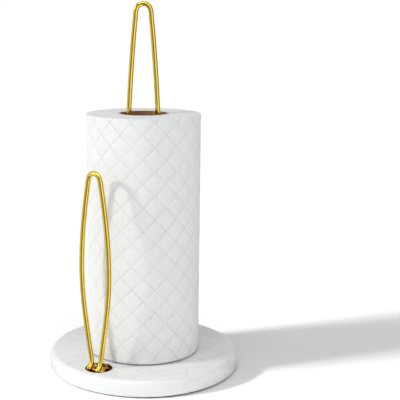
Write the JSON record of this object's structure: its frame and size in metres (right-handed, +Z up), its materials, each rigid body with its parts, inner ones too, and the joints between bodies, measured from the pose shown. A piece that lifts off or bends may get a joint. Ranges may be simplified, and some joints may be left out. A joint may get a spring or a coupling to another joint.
{
  "type": "paper towel holder",
  "caption": "Counter-top kitchen roll holder: marble disc base, leaf-shaped wire post, and a shorter hinged wire arm beside the loaded roll.",
  "frame": {"origin": "centre of the resting face under the base, on the roll's axis", "axes": "+Z up along the roll's axis; -Y towards the front; the arm stands at the front left"},
  "size_m": [0.187, 0.187, 0.355],
  "materials": {
    "marble": "satin",
    "brass": "satin",
    "brass_inner": "satin",
    "steel": "satin",
    "spring": "satin",
    "pad": "matte",
    "cardboard": "matte",
    "paper": "matte"
  },
  "bodies": {
    "base": {"marble_base": "marble", "foot_pad": "pad", "post_loop": "brass", "post_foot": "brass", "post_bolt": "steel", "post_lock_washer": "steel", "post_washer": "steel", "hinge_cup": "brass_inner", "hinge_block": "brass_inner", "hinge_screw": "steel", "pivot_pin": "brass_inner", "pin_clip": "steel", "torsion_spring": "spring"},
    "arm": {"arm_loop": "brass"},
    "roll": {"roll_core": "cardboard"},
    "sheets": {"paper_roll": "paper"}
  },
  "joints": [
    {"name": "arm_hinge", "type": "hinge", "parent": "base", "child": "arm", "pos_m": [-0.04445, -0.05689, 0.0136], "axis": [0.788, -0.6157, 0], "range_deg": [-4, 14], "stiffness_Nm_per_rad": 0.6, "deforming": ["torsion_spring"]},
    {"name": "roll_lift", "type": "slide", "parent": "base", "child": "roll", "axis": [0, 0, 1], "range_m": [0, 0.34]},
    {"name": "roll_spin", "type": "hinge", "parent": "roll", "child": "sheets", "pos_m": [0, 0, 0.1345], "axis": [0, 0, 1], "continuous": true}
  ]
}
